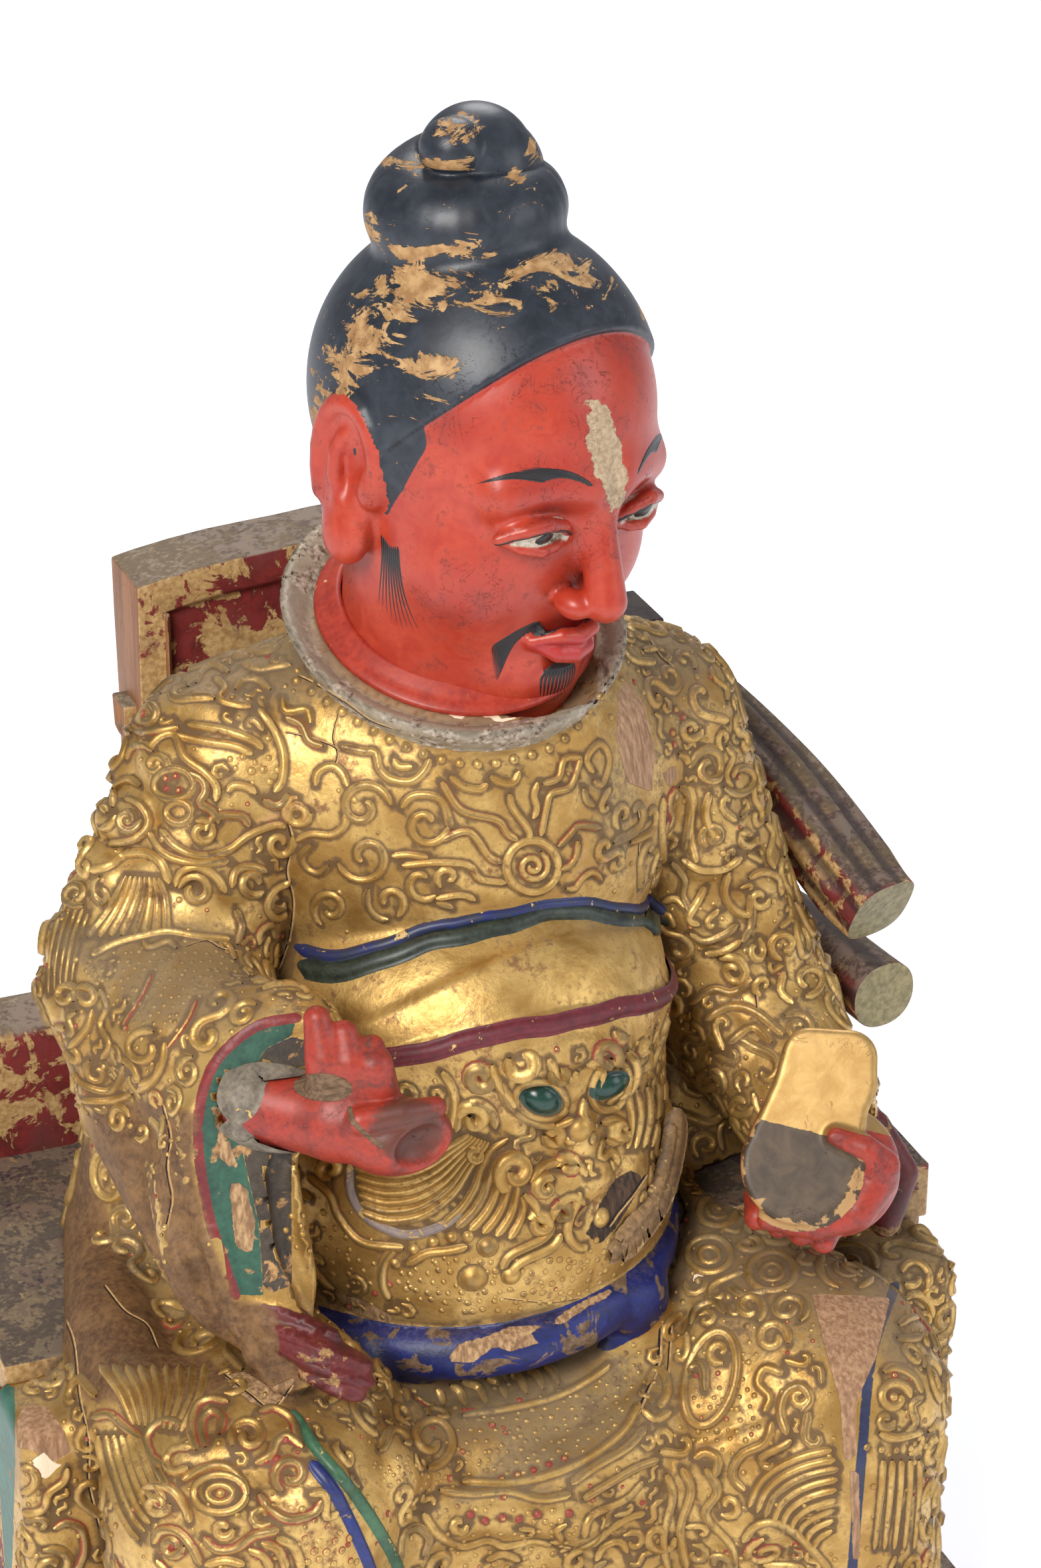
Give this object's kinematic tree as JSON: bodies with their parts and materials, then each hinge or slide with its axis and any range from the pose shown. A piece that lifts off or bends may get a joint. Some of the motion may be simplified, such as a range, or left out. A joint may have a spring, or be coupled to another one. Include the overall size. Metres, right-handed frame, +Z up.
{
  "type": "guan yu statue",
  "caption": "Seated warrior-god altar figure in carved, painted and gilded wood, on a block chair with a tall back and one surviving side rail pair, on a low base.",
  "frame": {"origin": "centre of the base's underside", "axes": "+Z up, the figure faces -Y, its right hand is on the -X side"},
  "size_m": [0.2112, 0.1672, 0.3295],
  "materials": {
    "gilded_wood": "gold leaf over raised lacquer, dusty",
    "red_lacquer_wood": "satin vermilion and black lacquer",
    "red_hand": "satin red lacquer",
    "gilt_tablet": "gold leaf, worn",
    "chair_wood": "worn maroon and ochre paint",
    "rail_wood": "worn maroon and ochre paint",
    "base_wood": "worn maroon paint"
  },
  "bodies": {
    "root": {"figure": "gilded_wood", "head": "red_lacquer_wood", "right_hand": "red_hand", "left_hand_tablet": "gilt_tablet", "chair": "chair_wood", "chair_left_arm": "rail_wood", "plinth": "base_wood"}
  },
  "joints": []
}
